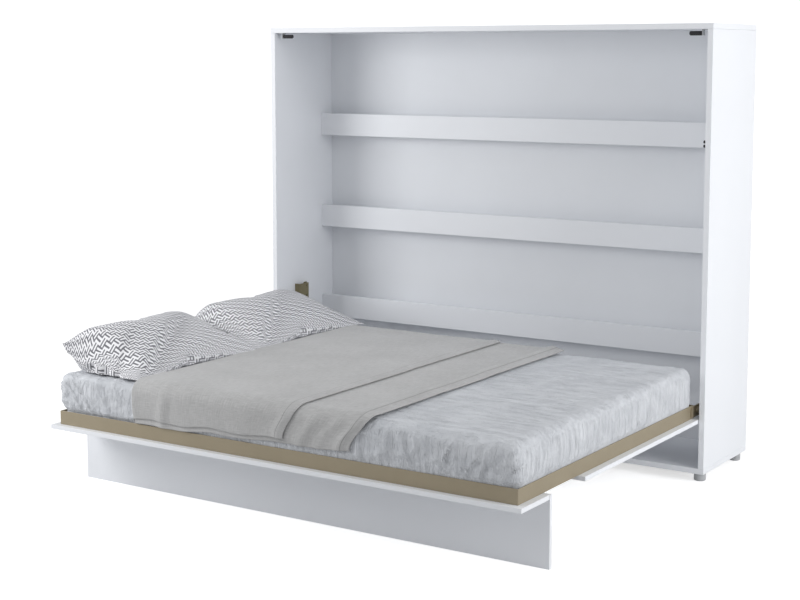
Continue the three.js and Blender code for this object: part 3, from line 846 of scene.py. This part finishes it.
def shape_pillow(piece, middle, length, left_heights, powers, folds, seed):
    """Lays a filled pillow on the mattress: its filling has run to the head side, which stands
    high, and folds run across it from its low corners."""
    mesh = piece.data
    points = np.array([v.co for v in mesh.vertices])
    low, high = points.min(0), points.max(0)
    unit = 2 * (points - (low + high) / 2) / (high - low)
    rim = np.abs(unit[:, 2]) < 0.12
    u, v, w = straighten(unit, rim, 0.92).T
    rest = MATTRESS_HIGH.z + 0.0085
    right_height = rest + 0.005
    front_end, rear_end = smoothstep(0.62, 1.0, -v), smoothstep(0.62, 1.0, v)
    power = powers[1] + (powers[0] - powers[1]) * front_end + (powers[2] - powers[1]) * rear_end
    left_height = left_heights[1] + (left_heights[0] - left_heights[1]) * front_end
    seam = right_height + (left_height - right_height) * np.clip((1 - u) / 2, 0, 1) ** power
    across, along = 1 - np.minimum(u ** 2, 1), 1 - np.minimum(v ** 2, 1)
    dome = across ** np.where(u > 0, 0.95, 0.45) * along ** 0.6
    inside = 1 - np.maximum(np.abs(u), np.abs(v))
    above = np.where(w > 0, 0.2 * np.maximum(w, 0) ** 0.85 * smoothstep(0, 0.2, inside) + 0.8 * dome, 0)
    below = w * 0.115 * smoothstep(0.02, 0.12, inside)
    z = seam + np.where(w > 0, above * (0.084 - 0.034 * (u + 1) / 2), below)
    crumple = np.array([noise.noise(Vector((1.9 * a, 2.7 * b, seed))) for a, b in zip(u, v)])
    z += np.where(w > 0, (0.005 * crumple - sink(u, v, folds)) * np.minimum(1, 2.2 * above), 0)
    z = np.where(z < rest, rest + 0.0006 * (z - rest), z)
    shaped = np.stack([middle[0] + u * PILLOW_WIDTH / 2, middle[1] + v * length / 2, z], 1)
    mesh.vertices.foreach_set("co", shaped.astype(np.float32).ravel())
    mesh.update()


def make_pillow(name, node, middle, length, left_heights, powers, folds, seed):
    piece = pillowcase(name)
    inflate(piece, 18)
    shape_pillow(piece, middle, length, left_heights, powers, folds, seed)
    smooth = piece.modifiers.new("smooth", "SUBSURF")
    smooth.levels = 1
    smooth.render_levels = 1
    apply_modifiers(piece)
    piece.data.polygons.foreach_set("use_smooth", [True] * len(piece.data.polygons))
    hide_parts(node)
    settle(piece)
    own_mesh(piece)


def make_pillows():
    """Each with the heights of its head side, how steeply it falls to the low side, and its folds."""
    x = CABINET_LEFT + 0.055 + PILLOW_WIDTH / 2
    make_pillow("pillow_front_filled", "pillow_front", (x, CABINET_FRONT - 1.045), 0.715,
                left_heights=(0.570, 0.588), powers=(5.5, 1.2, 0.8), seed=3.7,
                folds=(((0.95, -1.0), (-0.65, 0.75), 0.036, 0.55),
                       ((0.40, -1.05), (-0.30, -0.30), 0.016, 0.3)))
    make_pillow("pillow_back_filled", "pillow_back", (x, CABINET_FRONT - 0.307), 0.765,
                left_heights=(0.530, 0.585), powers=(1.6, 1.2, 1.1), seed=8.2,
                folds=(((1.0, -1.0), (-0.05, -0.05), 0.036, 0.5),
                       ((0.1, -0.1), (-0.8, 0.75), 0.016, 0.4)))


# ---- surroundings ---------------------------------------------------------------------------
def area_light(name, place, aim, size, power):
    light = bpy.data.objects.new(name, bpy.data.lights.new(name, "AREA"))
    light.data.shape = "RECTANGLE"
    light.data.size, light.data.size_y = size
    light.data.energy = power
    light.location = place
    light.rotation_euler = (Vector(aim) - Vector(place)).to_track_quat("-Z", "Y").to_euler()
    bpy.context.scene.collection.objects.link(light)


def make_surroundings():
    floor = bpy.data.objects.new("floor", bpy.data.meshes.new("floor"))
    reach = 60
    floor.data.from_pydata([(-reach, -reach, 0), (reach, -reach, 0), (reach, reach, 0), (-reach, reach, 0)],
                           [], [(0, 1, 2, 3)])
    pale = Finish("pale_floor", 0.9, specular=0.0)
    pale.colour(pale.mix(pale.noise(pale.place(), 3), (0.71, 0.71, 0.71), (0.73, 0.73, 0.73)))
    pale.shader.inputs["Emission Color"].default_value = (1, 1, 1, 1)
    away = pale.node("ShaderNodeVectorMath", Vector=pale.place())
    away.operation = "LENGTH"
    seen = pale.tree.nodes.new("ShaderNodeLightPath").outputs["Is Camera Ray"]
    glow = pale.math("MULTIPLY", seen, pale.ramp(away.outputs["Value"], 2, 9, 0.62, 1.0))
    pale.feed(pale.shader.inputs["Emission Strength"], glow)
    floor.data.materials.append(pale.material)
    bpy.context.scene.collection.objects.link(floor)

    world = bpy.data.worlds.new("studio")
    world.use_nodes = True
    bpy.context.scene.world = world
    tree = world.node_tree
    background = tree.nodes["Background"]
    background.inputs["Color"].default_value = (0.975, 0.985, 1, 1)
    path = tree.nodes.new("ShaderNodeLightPath")
    strength = tree.nodes.new("ShaderNodeMapRange")
    strength.inputs["To Min"].default_value = 0.48
    strength.inputs["To Max"].default_value = 1.2
    tree.links.new(path.outputs["Is Camera Ray"], strength.inputs["Value"])
    tree.links.new(strength.outputs["Result"], background.inputs["Strength"])

    area_light("left_front", (-2.6, -2.2, 1.8), (-0.2, 0.3, 0.8), (1.7, 1.5), 57)
    area_light("right", (5.0, 0.0, 2.0), (0.8, 0.2, 0.8), (2.6, 2.4), 124)
    area_light("overhead", (0.2, -1.2, 4.6), (0, -0.4, 0), (3.0, 3.0), 12)
    area_light("under_bed", (0.8, -0.35, 0.14), (0.85, 0.8, 0.25), (0.5, 0.12), 0.8)
    bpy.context.scene.view_settings.view_transform = "Standard"


# ---- making it ------------------------------------------------------------------------------
make_camera()
FINISHES = make_finishes()
dress_cad_nodes(FINISHES)
make_feet()
make_buffers()
make_pins()
make_gas_springs()
mattress_core = make_mattress()
make_throw()
make_pillows()
make_surroundings()
